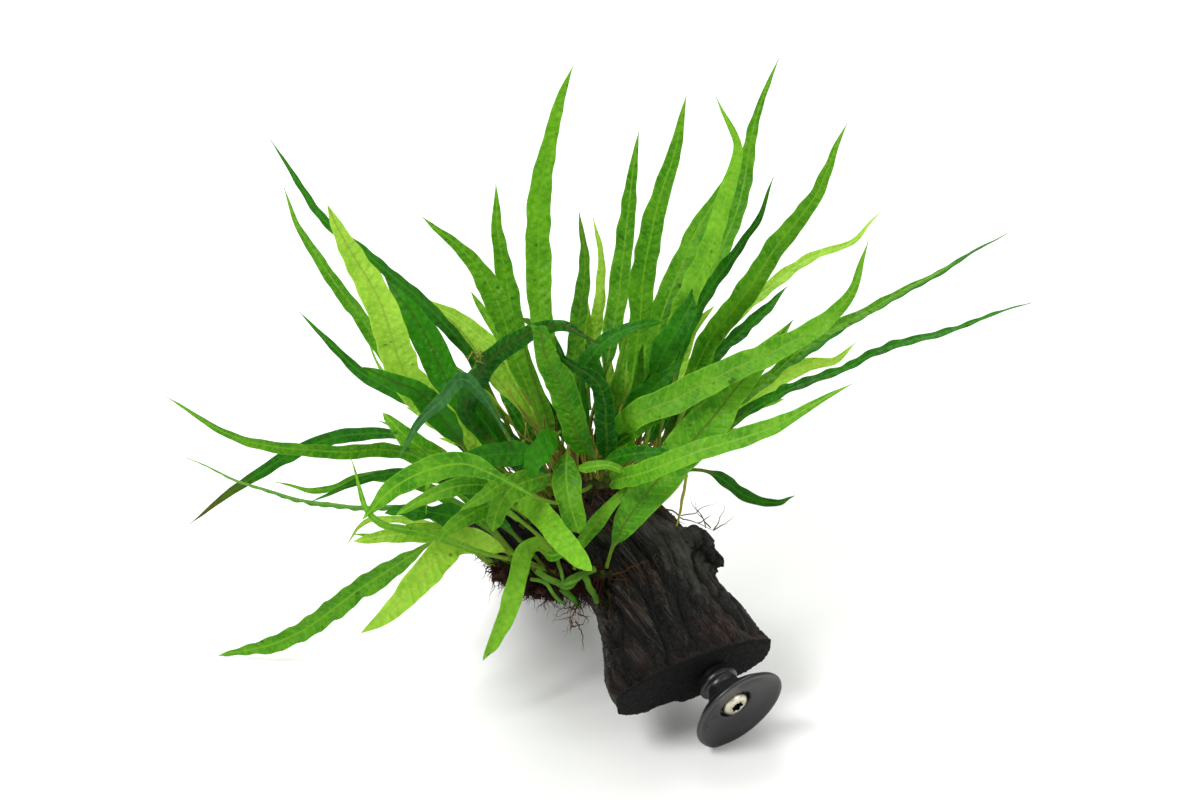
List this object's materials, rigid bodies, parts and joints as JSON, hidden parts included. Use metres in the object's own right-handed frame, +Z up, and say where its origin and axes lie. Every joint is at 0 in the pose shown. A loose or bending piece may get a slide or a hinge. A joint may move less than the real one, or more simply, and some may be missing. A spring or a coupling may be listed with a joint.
{
  "type": "java fern on driftwood",
  "caption": "Narrow-leaved java fern with long tapering fronds, growing on a dark driftwood chunk whose sawn end carries a black suction cup and its screw",
  "frame": {"origin": "middle of the whole object's box in X and Y, on the surface that it stands on", "axes": "+Z up, +X along the plant's widest spread to the side of the suction cup, -Y towards the front with the sawn end and the cup"},
  "size_m": [0.3492, 0.2078, 0.2536],
  "materials": {
    "driftwood": "matte",
    "black_rubber": "satin",
    "stainless_steel": "satin",
    "roots": "matte",
    "rhizome": "satin",
    "frond_pale": "satin",
    "frond_bright": "satin",
    "frond_mid": "satin",
    "frond_deep": "satin",
    "frond_teal": "satin"
  },
  "bodies": {
    "root": {"cup_screw": "stainless_steel", "driftwood": "driftwood", "frond_arch_left": "frond_deep", "frond_arch_middle": "frond_deep", "frond_arch_right": "frond_mid", "frond_front_arch": "frond_bright", "frond_front_blunt": "frond_bright", "frond_front_hanging": "frond_bright", "frond_front_level": "frond_teal", "frond_front_short": "frond_bright", "frond_left_arm": "frond_mid", "frond_left_broad_deep": "frond_deep", "frond_left_broad_low": "frond_pale", "frond_left_broad_pale": "frond_pale", "frond_left_brown_tip": "frond_deep", "frond_left_dark": "frond_deep", "frond_left_floor": "frond_mid", "frond_left_level": "frond_mid", "frond_left_long": "frond_deep", "frond_left_pale_short": "frond_pale", "frond_left_reaching": "frond_mid", "frond_left_short": "frond_mid", "frond_left_small_back": "frond_pale", "frond_left_small_curled": "frond_bright", "frond_left_small_drooping": "frond_bright", "frond_left_small_front": "frond_bright", "frond_left_teal": "frond_teal", "frond_left_thin": "frond_mid", "frond_left_thin_curved": "frond_bright", "frond_left_wavy": "frond_deep", "frond_right_broad": "frond_bright", "frond_right_front_broad": "frond_bright", "frond_right_inner": "frond_deep", "frond_right_long_lower": "frond_mid", "frond_right_long_upper": "frond_deep", "frond_right_low_back": "frond_deep", "frond_right_low_front": "frond_bright", "frond_right_pale_short": "frond_pale", "frond_right_tall": "frond_mid", "frond_right_toothed": "frond_deep", "frond_right_wavy": "frond_deep", "frond_right_wisp": "frond_pale", "frond_upright_back_left": "frond_mid", "frond_upright_back_middle": "frond_mid", "frond_upright_back_pale": "frond_pale", "frond_upright_curled": "frond_bright", "frond_upright_leaning_left": "frond_mid", "frond_upright_left": "frond_mid", "frond_upright_middle": "frond_mid", "frond_upright_narrow": "frond_deep", "frond_upright_right": "frond_mid", "frond_upright_tall_left": "frond_mid", "frond_upright_tall_right": "frond_mid", "hanging_roots": "roots", "rhizome_back": "rhizome", "rhizome_front": "rhizome", "rhizome_top": "rhizome", "root_mat": "roots", "suction_cup": "black_rubber", "wiry_roots": "roots"}
  },
  "joints": []
}
